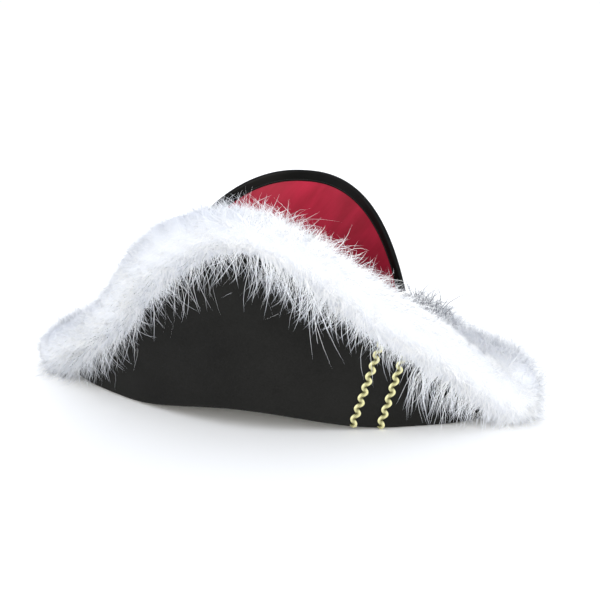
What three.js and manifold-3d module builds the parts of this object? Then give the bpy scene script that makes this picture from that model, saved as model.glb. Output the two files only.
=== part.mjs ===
// Costume bicorne hat: black felt with a tall rear flap faced in red satin, a white marabou trim
// and two gold braids. Millimetres, +Z up. The front looks along -Y and the two tips lie along X.
import * as THREE from 'three';
import { mergeVertices } from 'three/addons/utils/BufferGeometryUtils.js';
import Module from 'manifold-3d';

const wasm = await Module();
wasm.setup();

// Plan of the folded brim
const HALF_SPAN = 250;
const FRONT_DEPTH = 110;
const REAR_DEPTH = 104;
const TIP_Y = 4;
const NOSE_RADIUS = 8;
const NOSE_START = -58;
const FRONT_POWER = 1.38;
const FRONT_EASE = 0.08;
const REAR_CURVE = 45.8;
const REAR_BLEND = 18;
const REAR_RISE = 3;

// Felt, its folds, and the space left between neighbouring pieces
const FELT = 2.5;
const FOLD_RADIUS = 6;
const FRONT_LEAN = 0.035;
const GAP = 0.3;

// Underside: arched in the middle, flat where the hat rests, lifted at the tips
const ARCH_HEIGHT = 18.5;
const ARCH_HALF = 150;
const LIFT_START = 190;
const TIP_LIFT = 10;

// Top edge of the front wall at even steps from the middle
const FRONT_EDGE = [
  { x: 0, left: 198, right: 198 },
  { x: 50, left: 181, right: 183 },
  { x: 100, left: 145, right: 147 },
  { x: 150, left: 92, right: 105 },
  { x: 200, left: 50, right: 63 },
  { x: 250, left: 25, right: 25 },
];

// Rear wall: a half-round flap in the middle and a low edge along each horn
const FLAP_HALF = 149.5;
const FLAP_HEIGHT = 225;
const FLAP_POWER = 2.32;
const FLAP_BASE_ANGLE = 16;
const HORN_LENGTH = 125;
const HORN_RISE = 50;
const HORN_POWER = 0.6;
const TIP_EDGE = 25;

// Head opening, its share of the brim's spread, and the crown above it
const HOLE = { halfX: 85, halfY: 98, centerY: -3 };
const FAN_WIDTH = 127;
const CROWN_HEIGHT = 130;
const CROWN_POWER = 3;

// Black binding on the flap's edge, and the red facing inside it
const BINDING_WIDTH = 12;
const BINDING_THICKNESS = 0.8;
const BINDING_CORNER = 1;
const BINDING_OVERRUN = 0.4;
const FACING_THICKNESS = 1;
const FACING_FOOT = 4;

// Marabou: the outer form of the fur along the brim's edge
const FUR_FRONT_RADIUS = 32;
const FUR_REAR_RADIUS = 32;
const FUR_REAR_START = 146;
const FUR_UNDERSIDE = 1;
const FUR_GAP = 0.6;

// Gold braids on the front wall, from just under the fold up into the fur
const BRAID = { width: 5.4, thickness: 1.6, wave: 1.2, pitch: 11.3, footAngle: 45 };
const BRAIDS = [
  { name: 'braid_inner', footX: 108, topX: 136, topHeight: 92 },
  { name: 'braid_outer', footX: 133, topX: 154, topHeight: 72 },
];

// Steps of the round and curved faces
const FRONT_STEPS = 24;
const FLAP_STEPS = 26;
const HORN_STEPS = 4;
const NOSE_STEPS = 3;
const FLOOR_STEPS = 4;
const FOLD_STEPS = 3;
const FACING_STEPS = 3;
const BINDING_LEG_STEPS = 3;
const CROWN_RINGS = 6;
const FUR_SIDES = 12;
const FUR_FRONT_STEPS = 26;
const FUR_REAR_STEPS = 6;
const BRAID_STEPS_PER_WAVE = 5;

const RADIAN = Math.PI / 180;
const { lerp, clamp } = THREE.MathUtils;

function steps(count, start, end) {
  return Array.from({ length: count + 1 }, (_, index) => lerp(start, end, index / count));
}

function signedPower(value, power) {
  return Math.sign(value) * Math.abs(value) ** power;
}

function smoothMax(a, b, width) {
  return (a + b + Math.hypot(a - b, width)) / 2;
}

// Solids

// A closed sheet between two grids of points; wrap joins the last row to the first
function sheetSolid(outer, inner, wrap = false) {
  const rows = outer.length;
  const columns = outer[0].length;
  const index = [];
  const corner = (side, row, column) => (side * rows + (row % rows)) * columns + column;
  const quad = (a, b, c, d) => index.push(a, b, c, a, c, d);
  const rowSteps = wrap ? rows : rows - 1;
  const last = columns - 1;
  for (let row = 0; row < rowSteps; row += 1) {
    for (let column = 0; column < last; column += 1) {
      quad(corner(0, row, column), corner(0, row + 1, column),
        corner(0, row + 1, column + 1), corner(0, row, column + 1));
      quad(corner(1, row, column), corner(1, row, column + 1),
        corner(1, row + 1, column + 1), corner(1, row + 1, column));
    }
    quad(corner(0, row, 0), corner(1, row, 0), corner(1, row + 1, 0), corner(0, row + 1, 0));
    quad(corner(0, row, last), corner(0, row + 1, last),
      corner(1, row + 1, last), corner(1, row, last));
  }
  if (!wrap) {
    for (let column = 0; column < last; column += 1) {
      quad(corner(0, 0, column), corner(0, 0, column + 1),
        corner(1, 0, column + 1), corner(1, 0, column));
      quad(corner(0, rows - 1, column), corner(1, rows - 1, column),
        corner(1, rows - 1, column + 1), corner(0, rows - 1, column + 1));
    }
  }
  const geometry = new THREE.BufferGeometry();
  const numbers = [...outer.flat(), ...inner.flat()].flatMap((point) => point.toArray());
  geometry.setAttribute('position', new THREE.Float32BufferAttribute(numbers, 3));
  geometry.setIndex(index);
  return facedOutward(withoutSlivers(mergeVertices(geometry)));
}

// Triangles that collapse to a line, such as those at a pole, are dropped
function withoutSlivers(geometry) {
  const source = geometry.index.array;
  const kept = [];
  for (let first = 0; first < source.length; first += 3) {
    const [a, b, c] = source.slice(first, first + 3);
    if (a !== b && b !== c && c !== a) {
      kept.push(a, b, c);
    }
  }
  geometry.setIndex(kept);
  return geometry;
}

function signedVolume(geometry) {
  const position = geometry.getAttribute('position');
  const index = geometry.index.array;
  const [a, b, c] = [new THREE.Vector3(), new THREE.Vector3(), new THREE.Vector3()];
  let volume = 0;
  for (let first = 0; first < index.length; first += 3) {
    a.fromBufferAttribute(position, index[first]);
    b.fromBufferAttribute(position, index[first + 1]);
    c.fromBufferAttribute(position, index[first + 2]);
    volume += a.dot(b.cross(c)) / 6;
  }
  return volume;
}

function facedOutward(geometry) {
  if (signedVolume(geometry) < 0) {
    geometry.setIndex([...geometry.index.array].reverse());
  }
  return geometry;
}

function toManifold(geometry) {
  const bare = geometry.clone();
  bare.deleteAttribute('normal');
  bare.deleteAttribute('uv');
  const merged = mergeVertices(bare);
  return new wasm.Manifold(new wasm.Mesh({
    numProp: 3,
    vertProperties: new Float32Array(merged.getAttribute('position').array),
    triVerts: new Uint32Array(merged.index.array),
  }));
}

function toGeometry(solid) {
  const mesh = solid.getMesh();
  const geometry = new THREE.BufferGeometry();
  geometry.setAttribute('position', new THREE.BufferAttribute(mesh.vertProperties, 3));
  geometry.setIndex(new THREE.BufferAttribute(mesh.triVerts, 1));
  return geometry;
}

// Form of the hat

// Height of the underside at a place along X
function underside(x) {
  const reach = Math.abs(x);
  if (reach < ARCH_HALF) {
    return ARCH_HEIGHT * Math.cos((Math.PI * reach) / (2 * ARCH_HALF)) ** 2;
  }
  const lift = Math.max(0, (reach - LIFT_START) / (HALF_SPAN - LIFT_START));
  return TIP_LIFT * lift ** 2;
}

// Each tip ends in a round nose, which the front curve meets at its start angle
const NOSE_CENTER_X = HALF_SPAN - NOSE_RADIUS;
const FRONT_END_X = NOSE_CENTER_X + NOSE_RADIUS * Math.cos(NOSE_START * RADIAN);
const FRONT_END_Y = TIP_Y + NOSE_RADIUS * Math.sin(NOSE_START * RADIAN);

function frontPlan(x) {
  const reach = Math.abs(x) / FRONT_END_X;
  const full = Math.hypot(1, FRONT_EASE) - FRONT_EASE;
  const eased = (Math.hypot(reach, FRONT_EASE) - FRONT_EASE) / full;
  return FRONT_END_Y - (FRONT_END_Y + FRONT_DEPTH) * (1 - eased ** FRONT_POWER);
}

function rearPlan(x) {
  const bowl = REAR_DEPTH - REAR_CURVE * (x / 100) ** 2;
  const horn = TIP_Y + NOSE_RADIUS + REAR_RISE * (1 - Math.abs(x) / HALF_SPAN);
  return smoothMax(bowl, horn, REAR_BLEND);
}

const frontEdgeCurve = new THREE.SplineCurve([
  ...FRONT_EDGE.slice(1).reverse().map((row) => new THREE.Vector2(-row.x, row.left)),
  ...FRONT_EDGE.map((row) => new THREE.Vector2(row.x, row.right)),
]);

function frontEdge(x) {
  return frontEdgeCurve.getPoint(clamp((x + HALF_SPAN) / (2 * HALF_SPAN), 0, 1)).y;
}

function hornEdge(x) {
  const back = Math.max(0, HALF_SPAN - Math.abs(x)) / HORN_LENGTH;
  return TIP_EDGE + HORN_RISE * back ** HORN_POWER;
}

// Edge of the flap at an angle from the right, inset for what lies outside it
function flapEdge(degrees, inset = 0) {
  const angle = degrees * RADIAN;
  return {
    x: (FLAP_HALF - inset) * signedPower(Math.cos(angle), 2 / FLAP_POWER),
    z: (FLAP_HEIGHT - inset) * signedPower(Math.sin(angle), 2 / FLAP_POWER),
  };
}

function flapAngles(overrun = 0) {
  return steps(FLAP_STEPS, FLAP_BASE_ANGLE - overrun, 180 - FLAP_BASE_ANGLE + overrun);
}

// Outward direction of a plan curve, on the side of -Y or +Y
function planNormal(plan, x, side) {
  const slope = plan(x + 0.5) - plan(x - 0.5);
  return new THREE.Vector3(-slope * side, side, 0).normalize();
}

// A place on the front wall by its height over the fold, below zero on the fold's round
function frontSkin(x, height, depth) {
  const outward = planNormal(frontPlan, x, -1);
  const point = new THREE.Vector3(x, frontPlan(x), underside(x) + FOLD_RADIUS);
  if (height < 0) {
    const angle = height / FOLD_RADIUS;
    point.addScaledVector(outward, (FOLD_RADIUS - depth) * Math.cos(angle) - FOLD_RADIUS);
    point.z += (FOLD_RADIUS - depth) * Math.sin(angle);
    return point;
  }
  point.addScaledVector(outward, -depth);
  point.z += height;
  point.y -= frontLean(x, height);
  return point;
}

function frontLean(x, height) {
  return FRONT_LEAN * height * (1 - (x / HALF_SPAN) ** 2);
}

function rearSkin(x, z, depth) {
  const point = new THREE.Vector3(x, rearPlan(x), z);
  return point.addScaledVector(planNormal(rearPlan, x, 1), -depth);
}

// Length along the rear wall from the middle, so that widths on it are true
const rearLengths = [0];
for (let x = 1; x <= HALF_SPAN; x += 1) {
  rearLengths.push(rearLengths[x - 1] + Math.hypot(1, rearPlan(x) - rearPlan(x - 1)));
}

function lengthAt(x) {
  const reach = Math.abs(x);
  const whole = Math.min(Math.floor(reach), HALF_SPAN - 1);
  return Math.sign(x) * lerp(rearLengths[whole], rearLengths[whole + 1], reach - whole);
}

function placeAt(length) {
  const reach = Math.abs(length);
  const whole = Math.max(0, rearLengths.findIndex((value) => value > reach) - 1);
  const part = (reach - rearLengths[whole]) / (rearLengths[whole + 1] - rearLengths[whole]);
  return Math.sign(length) * (whole + part);
}

// A place on the rear wall a given width inside the flap's edge
function flapPlace(degrees, width) {
  const onWall = (angle) => {
    const edge = flapEdge(angle);
    return new THREE.Vector2(lengthAt(edge.x), edge.z);
  };
  const along = onWall(degrees + 0.5).sub(onWall(degrees - 0.5)).normalize();
  const inward = new THREE.Vector2(-along.y, along.x);
  const place = onWall(degrees).addScaledVector(inward, width);
  return { x: placeAt(place.x), z: place.y };
}

// Brim: one folded felt piece, a floor around the head opening with walls front and rear

function fanAngle(x) {
  return 90 * Math.tanh(x / FAN_WIDTH);
}

function frontStation(x) {
  const outward = planNormal(frontPlan, x, -1);
  return { x, y: frontPlan(x), edge: frontEdge(x), holeAngle: fanAngle(x) - 90, outward, leans: true };
}

function rearStation(x, edge) {
  const outward = planNormal(rearPlan, x, 1);
  return { x, y: rearPlan(x), edge, holeAngle: 90 - fanAngle(x), outward, leans: false };
}

function noseStations(side) {
  const first = fanAngle(FRONT_END_X);
  return steps(NOSE_STEPS + 1, NOSE_START, 90).slice(1, -1).map((degrees) => {
    const outward = new THREE.Vector3(side * Math.cos(degrees * RADIAN), Math.sin(degrees * RADIAN), 0);
    const x = side * NOSE_CENTER_X + NOSE_RADIUS * outward.x;
    const y = TIP_Y + NOSE_RADIUS * outward.y;
    const spread = (degrees - NOSE_START) / (90 - NOSE_START);
    const angle = lerp(first - 90, 90 - first, spread);
    const holeAngle = side > 0 ? angle : 180 - angle;
    return { x, y, edge: hornEdge(x), holeAngle, outward, leans: false };
  });
}

function hornStations(side) {
  const start = flapEdge(FLAP_BASE_ANGLE).x;
  return steps(HORN_STEPS + 1, start, NOSE_CENTER_X).slice(1).map(
    (reach) => rearStation(side * reach, hornEdge(reach)),
  );
}

function flapStations() {
  return flapAngles().map((degrees) => {
    const edge = flapEdge(degrees, BINDING_THICKNESS + GAP);
    return rearStation(edge.x, edge.z);
  });
}

function brimStations() {
  return [
    ...steps(FRONT_STEPS, -FRONT_END_X, FRONT_END_X).map(frontStation),
    ...noseStations(1),
    ...hornStations(1).reverse(),
    ...flapStations(),
    ...hornStations(-1),
    ...noseStations(-1).reverse(),
  ];
}

// One section, from the head opening along the floor, around the fold and up the wall
function brimSection(place, depth, extra) {
  const { outward } = place;
  const angle = place.holeAngle * RADIAN;
  const hole = new THREE.Vector2(
    HOLE.halfX * Math.cos(angle),
    HOLE.centerY + HOLE.halfY * Math.sin(angle),
  );
  const foot = new THREE.Vector2(place.x, place.y).addScaledVector(outward, -FOLD_RADIUS);
  const floor = steps(FLOOR_STEPS, 0, 1).map((share) => {
    const spot = hole.clone().lerp(foot, share);
    return new THREE.Vector3(spot.x, spot.y, underside(spot.x) + depth);
  });
  const centerHeight = underside(place.x) + FOLD_RADIUS;
  const radius = FOLD_RADIUS - depth;
  const fold = steps(FOLD_STEPS, -90, 0).slice(1).map((degrees) => {
    const reach = radius * Math.cos(degrees * RADIAN);
    const height = centerHeight + radius * Math.sin(degrees * RADIAN);
    return new THREE.Vector3(foot.x + outward.x * reach, foot.y + outward.y * reach, height);
  });
  const top = fold[fold.length - 1].clone();
  top.z = place.edge + extra;
  if (place.leans) {
    top.y -= frontLean(place.x, place.edge - centerHeight);
  }
  return [...floor, ...fold, top];
}

function brimSolid(margin = 0) {
  const skin = (depth) => brimStations().map((place) => brimSection(place, depth, margin));
  return sheetSolid(skin(-margin), skin(FELT + margin), true);
}

// Crown: a felt dome standing in the head opening, its foot level with the brim's underside.
// Its facets run along those of the opening, so the space between the two stays even.
function crownSolid() {
  const skin = (depth) => brimStations().map((place) => {
    const around = place.holeAngle * RADIAN;
    const halfX = HOLE.halfX - GAP - depth;
    const halfY = HOLE.halfY - GAP - depth;
    return steps(CROWN_RINGS, 0, 90).map((rise) => {
      const wide = Math.max(0, Math.cos(rise * RADIAN)) ** (2 / CROWN_POWER);
      const high = Math.sin(rise * RADIAN) ** (2 / CROWN_POWER);
      const closed = rise === 90 ? 0 : wide;
      const x = halfX * closed * Math.cos(around);
      const y = HOLE.centerY + halfY * closed * Math.sin(around);
      const z = underside(x) * (1 - high) + (CROWN_HEIGHT - depth) * high;
      return new THREE.Vector3(x, y, z);
    });
  });
  return sheetSolid(skin(0), skin(FELT), true);
}

// Edge binding: a tape folded over the flap's edge, one leg on each face of the felt
function bindingSolid(margin = 0) {
  const path = (lift, fold, corner) => {
    const leg = steps(BINDING_LEG_STEPS, BINDING_WIDTH + margin, fold + corner);
    return [
      ...leg.map((width) => ({ width, depth: -lift })),
      { width: fold, depth: 0 },
      { width: fold, depth: FELT },
      ...leg.reverse().map((width) => ({ width, depth: FELT + lift })),
    ];
  };
  const skin = (points) => flapAngles(margin * BINDING_OVERRUN).map((degrees) => points.map(({ width, depth }) => {
    const place = flapPlace(degrees, width);
    return rearSkin(place.x, place.z, depth);
  }));
  const outerPath = path(GAP + BINDING_THICKNESS + margin, -margin, BINDING_CORNER);
  const innerPath = path(GAP - margin, BINDING_THICKNESS + margin, BINDING_CORNER - BINDING_THICKNESS);
  return sheetSolid(skin(outerPath), skin(innerPath));
}

// Rear facing: the red satin on the flap's inner face, from the binding down to the fold
function facingSolid(margin = 0) {
  const inset = BINDING_WIDTH + GAP - margin;
  const skin = (depth) => flapAngles().map((degrees) => {
    const top = flapPlace(degrees, inset);
    const low = underside(top.x) + FOLD_RADIUS + FACING_FOOT;
    return steps(FACING_STEPS, low, top.z).map((z) => rearSkin(top.x, z, depth));
  });
  return sheetSolid(skin(FELT + GAP - margin), skin(FELT + GAP + FACING_THICKNESS + margin));
}

// Gold braid: a narrow band that waves from side to side as it climbs the front wall
function braidSolid(row, margin = 0) {
  const low = -BRAID.footAngle * RADIAN * FOLD_RADIUS;
  const length = Math.hypot(row.topX - row.footX, row.topHeight - low);
  const count = Math.round((length / BRAID.pitch) * BRAID_STEPS_PER_WAVE);
  const half = BRAID.width / 2 + margin;
  const skin = (depth) => steps(count, 0, 1).map((share) => {
    const sway = BRAID.wave * Math.sin((2 * Math.PI * share * length) / BRAID.pitch);
    const height = lerp(low, row.topHeight + margin, share);
    const middle = lerp(row.footX, row.topX, share) + sway;
    return [-half, half].map((across) => frontSkin(middle + across, height, depth));
  });
  return sheetSolid(skin(-GAP - BRAID.thickness - margin), skin(-GAP + margin));
}

// Marabou

function furTube(points, radius, count) {
  const round = new THREE.Shape().absarc(0, 0, radius, 0, 2 * Math.PI, false);
  return new THREE.ExtrudeGeometry(round, {
    steps: count,
    curveSegments: FUR_SIDES / 2,
    extrudePath: new THREE.CatmullRomCurve3(points),
    bevelEnabled: false,
  });
}

function furBall(center, radius) {
  return new THREE.SphereGeometry(radius, FUR_SIDES, FUR_SIDES / 2).translate(...center.toArray());
}

function frontFurPoint(x) {
  const edge = frontEdge(x);
  return new THREE.Vector3(x, frontPlan(x) - frontLean(x, edge), edge);
}

function rearFurPoint(x) {
  return new THREE.Vector3(x, rearPlan(x), hornEdge(x));
}

function furSolid() {
  const frontPoints = steps(FUR_FRONT_STEPS / 2, -HALF_SPAN, HALF_SPAN).map(frontFurPoint);
  let fur = toManifold(furTube(frontPoints, FUR_FRONT_RADIUS, FUR_FRONT_STEPS));
  for (const tip of [frontPoints[0], frontPoints.at(-1)]) {
    const side = Math.sign(tip.x);
    const reaches = steps(FUR_REAR_STEPS / 2, FUR_REAR_START, HALF_SPAN).slice(0, -1);
    const rearPoints = [...reaches.map((reach) => rearFurPoint(side * reach)), tip];
    fur = fur
      .add(toManifold(furTube(rearPoints, FUR_REAR_RADIUS, FUR_REAR_STEPS)))
      .add(toManifold(furBall(rearPoints[0], FUR_REAR_RADIUS)))
      .add(toManifold(furBall(tip, FUR_FRONT_RADIUS)));
  }
  const neighbours = [brimSolid(FUR_GAP), bindingSolid(FUR_GAP), facingSolid(FUR_GAP)];
  neighbours.push(...BRAIDS.map((row) => braidSolid(row, FUR_GAP)));
  for (const neighbour of neighbours) {
    fur = fur.subtract(toManifold(neighbour));
  }
  const block = new THREE.BoxGeometry(3 * HALF_SPAN, 3 * HALF_SPAN, HALF_SPAN);
  block.translate(0, 0, FUR_UNDERSIDE - HALF_SPAN / 2);
  return toGeometry(fur.subtract(toManifold(block)));
}

// Materials and assembly

const blackFelt = { color: '#2b2c29', roughness: 0.95, metalness: 0 };
const blackSatin = { color: '#20221e', roughness: 0.5, metalness: 0 };
const redSatin = { color: '#9c2a41', roughness: 0.45, metalness: 0 };
const whiteDown = { color: '#f4f5f8', roughness: 0.95, metalness: 0 };
const goldThread = { color: '#c9c07a', roughness: 0.35, metalness: 0.8 };

const hat = new THREE.Group();

function addPiece(name, geometry, look) {
  const piece = new THREE.Mesh(geometry, new THREE.MeshStandardMaterial(look));
  piece.name = name;
  hat.add(piece);
}

addPiece('crown', crownSolid(), blackFelt);
addPiece('brim', brimSolid(), blackFelt);
addPiece('rear_facing', facingSolid(), redSatin);
addPiece('edge_binding', bindingSolid(), blackSatin);
addPiece('marabou_trim', furSolid(), whiteDown);
for (const row of BRAIDS) {
  addPiece(row.name, braidSolid(row), goldThread);
}

// The origin is the middle of the box's bottom face
const box = new THREE.Box3().setFromObject(hat);
const middle = box.getCenter(new THREE.Vector3());
hat.position.set(-middle.x, -middle.y, -box.min.z);

export default hat;
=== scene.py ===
"""A costume bicorne hat of black felt, with a tall red-faced rear flap, marabou and two gold braids."""

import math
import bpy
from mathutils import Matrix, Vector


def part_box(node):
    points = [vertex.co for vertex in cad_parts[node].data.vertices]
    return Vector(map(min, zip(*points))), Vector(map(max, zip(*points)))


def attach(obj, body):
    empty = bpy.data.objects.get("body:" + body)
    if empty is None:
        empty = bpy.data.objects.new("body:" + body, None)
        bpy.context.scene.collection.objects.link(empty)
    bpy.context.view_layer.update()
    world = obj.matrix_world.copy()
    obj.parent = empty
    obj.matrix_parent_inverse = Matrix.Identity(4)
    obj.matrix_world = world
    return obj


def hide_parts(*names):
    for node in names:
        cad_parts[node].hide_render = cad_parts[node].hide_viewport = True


bl_info = {
    "name": "Bicorne hat",
    "version": (1, 0, 0),
    "blender": (4, 5, 0),
    "location": "View3D > Sidebar > Bicorne",
    "description": "Makes each piece of a costume bicorne hat over its CAD frame, and the studio around it",
    "category": "Add Mesh",
}

import bpy
import numpy as np
from mathutils import Vector

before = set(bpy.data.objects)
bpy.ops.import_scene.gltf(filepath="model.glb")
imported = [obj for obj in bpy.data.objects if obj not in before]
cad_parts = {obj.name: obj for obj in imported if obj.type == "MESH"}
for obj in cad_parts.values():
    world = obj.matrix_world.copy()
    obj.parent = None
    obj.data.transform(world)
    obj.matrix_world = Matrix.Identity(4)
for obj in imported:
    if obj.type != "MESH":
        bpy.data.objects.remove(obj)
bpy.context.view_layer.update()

# The hat's own plan is worked in millimetres about the middle of the brim, and moved to the frame at the end
MM = 1000
HALF_SPAN = 250.0
FRONT_DEPTH = 110.0
REAR_DEPTH = 104.0
TIP_Y = 4.0
NOSE_RADIUS = 8.0
NOSE_START = -58.0
FRONT_POWER = 1.38
FRONT_EASE = 0.08
REAR_CURVE = 45.8
REAR_BLEND = 18.0
REAR_RISE = 3.0
FOLD_RADIUS = 6.0
FRONT_LEAN = 0.035
GAP = 0.3
ARCH_HEIGHT = 18.5
ARCH_HALF = 150.0
LIFT_START = 190.0
TIP_LIFT = 10.0
FRONT_EDGE_LEFT = (25.0, 50.0, 92.0, 145.0, 181.0)
FRONT_EDGE_MIDDLE = 198.0
FRONT_EDGE_RIGHT = (183.0, 147.0, 105.0, 63.0, 25.0)
FLAP_HALF = 149.5
FLAP_HEIGHT = 225.0
FLAP_POWER = 2.32
FLAP_BASE_ANGLE = 16.0
FLAP_FELT_INSET = 0.8 + GAP
HORN_LENGTH = 125.0
HORN_RISE = 50.0
HORN_POWER = 0.6
TIP_EDGE = 25.0
HOLE_HALF_X = 85.0
HOLE_HALF_Y = 98.0
HOLE_Y = -3.0
FAN_WIDTH = 127.0
CROWN_HEIGHT = 130.0
CROWN_POWER = 3.0
FACING_FOOT = 4.0
BRAID_FEET = {"braid_inner": (108.0, 136.0, 92.0), "braid_outer": (133.0, 154.0, 72.0)}
BRAID_FOOT_ANGLE = 41.0
REAR_FUR_START = 146.0

NOSE_X = HALF_SPAN - NOSE_RADIUS
FRONT_END_X = NOSE_X + NOSE_RADIUS * math.cos(math.radians(NOSE_START))
FRONT_END_Y = TIP_Y + NOSE_RADIUS * math.sin(math.radians(NOSE_START))

crown_low, crown_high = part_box("crown")
PLAN_SHIFT = Vector((0.0, (crown_low[1] + crown_high[1]) / 2 - HOLE_Y / MM, 0.0))


# Form of the hat


def limit(x):
    """Keeps a value from 0 to 1."""
    return np.clip(x, 0, 1)


def rise(x, start, end):
    """Climbs evenly from 0 at one place to 1 at another."""
    return limit((x - start) / (end - start))


def hump(x, middle, width):
    """Is 1 at a place and dies out on both sides of it."""
    return np.exp(-(((x - middle) / width) ** 2))


def underside(x):
    """Height of the brim's underside at a place along X."""
    reach = np.abs(x)
    arch = ARCH_HEIGHT * np.cos(np.pi * reach / (2 * ARCH_HALF)) ** 2
    lift = np.maximum(0, (reach - LIFT_START) / (HALF_SPAN - LIFT_START))
    return np.where(reach < ARCH_HALF, arch, TIP_LIFT * lift**2)


def front_plan(x):
    """Y of the front wall's outer face."""
    reach = np.abs(x) / FRONT_END_X
    full = math.hypot(1, FRONT_EASE) - FRONT_EASE
    eased = (np.hypot(reach, FRONT_EASE) - FRONT_EASE) / full
    return FRONT_END_Y - (FRONT_END_Y + FRONT_DEPTH) * (1 - eased**FRONT_POWER)


def rear_plan(x):
    """Y of the rear wall's outer face."""
    bowl = REAR_DEPTH - REAR_CURVE * (x / 100) ** 2
    horn = TIP_Y + NOSE_RADIUS + REAR_RISE * (1 - np.abs(x) / HALF_SPAN)
    return (bowl + horn + np.hypot(bowl - horn, REAR_BLEND)) / 2


def plan_normal(plan, x, side):
    """Outward direction of a plan curve, on the side of -Y or +Y."""
    slope = plan(x + 0.5) - plan(x - 0.5)
    normal = np.stack([-slope * side, np.full_like(slope, side), np.zeros_like(slope)], axis=-1)
    return normal / np.linalg.norm(normal, axis=-1, keepdims=True)


def through_points(values, share):
    """Smooth curve through evenly spaced values, at a share of the way from the first to the last."""
    values = np.asarray(values, float)
    place = limit(share) * (len(values) - 1)
    step = np.minimum(place.astype(int), len(values) - 2)
    t = place - step
    before, start, end, after = (values[np.clip(step + k, 0, len(values) - 1)] for k in (-1, 0, 1, 2))
    rise_in, rise_out = (end - before) / 2, (after - start) / 2
    return (
        (2 * start - 2 * end + rise_in + rise_out) * t**3
        + (-3 * start + 3 * end - 2 * rise_in - rise_out) * t**2
        + rise_in * t
        + start
    )


def front_edge(x):
    """Height of the front wall's top edge."""
    heights = (*FRONT_EDGE_LEFT, FRONT_EDGE_MIDDLE, *FRONT_EDGE_RIGHT)
    return through_points(heights, (x + HALF_SPAN) / (2 * HALF_SPAN))


def horn_edge(x):
    """Height of the rear wall's top edge along a horn."""
    back = np.maximum(0, HALF_SPAN - np.abs(x)) / HORN_LENGTH
    return TIP_EDGE + HORN_RISE * back**HORN_POWER


def flap_edge(degrees, inset=0.0):
    """X and Z of the flap's edge at an angle from the right."""
    angle = np.radians(degrees)
    power = 2 / FLAP_POWER
    x = (FLAP_HALF - inset) * np.sign(np.cos(angle)) * np.abs(np.cos(angle)) ** power
    z = (FLAP_HEIGHT - inset) * np.abs(np.sin(angle)) ** power
    return x, z


def flap_angle(share, inset=0.0):
    """Angle on the flap's edge, at a share of the way from its foot at +X to that at -X, both inset."""
    first = FLAP_BASE_ANGLE + inset
    return first + (180 - 2 * first) * share


def front_skin(x, height, depth):
    """A place on the front wall by its height over the fold, below zero on the fold's round."""
    angle = np.minimum(height, 0) / FOLD_RADIUS
    on_wall = np.maximum(height, 0)
    outward = plan_normal(front_plan, x, -1)
    out = (FOLD_RADIUS - depth) * np.cos(angle) - FOLD_RADIUS
    point = np.stack([x, front_plan(x), underside(x) + FOLD_RADIUS + on_wall], axis=-1)
    point = point + outward * out[..., None]
    point[..., 2] += (FOLD_RADIUS - depth) * np.sin(angle)
    point[..., 1] -= FRONT_LEAN * on_wall * (1 - (x / HALF_SPAN) ** 2)
    return point


def rear_skin(x, z, depth):
    """A place on the rear wall, a depth inside its outer face."""
    point = np.stack([x, rear_plan(x), z], axis=-1)
    return point - plan_normal(rear_plan, x, 1) * np.asarray(depth)[..., None]


REAR_STEPS = np.arange(0, HALF_SPAN + 1)
REAR_LENGTHS = np.concatenate([[0], np.cumsum(np.hypot(1, np.diff(rear_plan(REAR_STEPS))))])


def flap_place(degrees, width):
    """X and Z on the rear wall, a width inside the flap's edge measured along the wall."""

    def on_wall(angle):
        x, z = flap_edge(angle)
        return np.sign(x) * np.interp(np.abs(x), REAR_STEPS, REAR_LENGTHS), z

    (x0, z0), (x1, z1) = on_wall(degrees - 0.5), on_wall(degrees + 0.5)
    length = np.hypot(x1 - x0, z1 - z0)
    along, height = on_wall(degrees)
    along = along - (z1 - z0) / length * width
    height = height + (x1 - x0) / length * width
    return np.sign(along) * np.interp(np.abs(along), REAR_LENGTHS, REAR_STEPS), height


def between(first, second, angle):
    """Directions at an angle from the first ones to the second ones."""
    return np.cos(angle)[:, None] * first + np.sin(angle)[:, None] * second


# Mesh helpers

MERGE_DISTANCE = 1e-5
# Degrees up to which faces shade as one surface, on moulded pieces and on threads and lumps
EDGE_SMOOTH = 40
ROUND_SMOOTH = 80


def to_frame(points):
    """Millimetres of the hat's plan to metres of the frame."""
    return np.asarray(points, float) / MM + np.array(PLAN_SHIFT)


def deselect():
    bpy.ops.object.select_all(action="DESELECT")


def only(piece):
    """Leaves one piece selected and active."""
    deselect()
    piece.select_set(True)
    bpy.context.view_layer.objects.active = piece


def shaped_grid(name, around, along, shape):
    """A grid primitive whose points are moved to where shape(u, v) puts them, in millimetres of the plan."""
    deselect()
    bpy.ops.mesh.primitive_grid_add(x_subdivisions=around, y_subdivisions=along, size=1)
    piece = bpy.context.object
    piece.name = piece.data.name = name
    flat = np.empty(len(piece.data.vertices) * 3)
    piece.data.vertices.foreach_get("co", flat)
    flat = flat.reshape(-1, 3) + 0.5
    placed = to_frame(shape(limit(flat[:, 0]), limit(flat[:, 1])))
    piece.data.vertices.foreach_set("co", placed.ravel())
    piece.data.update()
    return piece


def join(pieces):
    """Joins pieces to the first of them."""
    only(pieces[0])
    for piece in pieces[1:]:
        piece.select_set(True)
    bpy.ops.object.join()
    return pieces[0]


def close_seams(piece, inside_out=False):
    """Merges doubled points and turns the faces outwards."""
    only(piece)
    bpy.ops.object.mode_set(mode="EDIT")
    bpy.ops.mesh.select_all(action="SELECT")
    bpy.ops.mesh.remove_doubles(threshold=MERGE_DISTANCE)
    bpy.ops.mesh.normals_make_consistent(inside=inside_out)
    bpy.ops.object.mode_set(mode="OBJECT")


def close_shell(piece, outermost, axis):
    """Closes an open shell's seams, with the outermost of its faces looking up along an axis."""
    close_seams(piece)
    if getattr(max(piece.data.polygons, key=outermost).normal, axis) < 0:
        close_seams(piece, inside_out=True)


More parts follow.
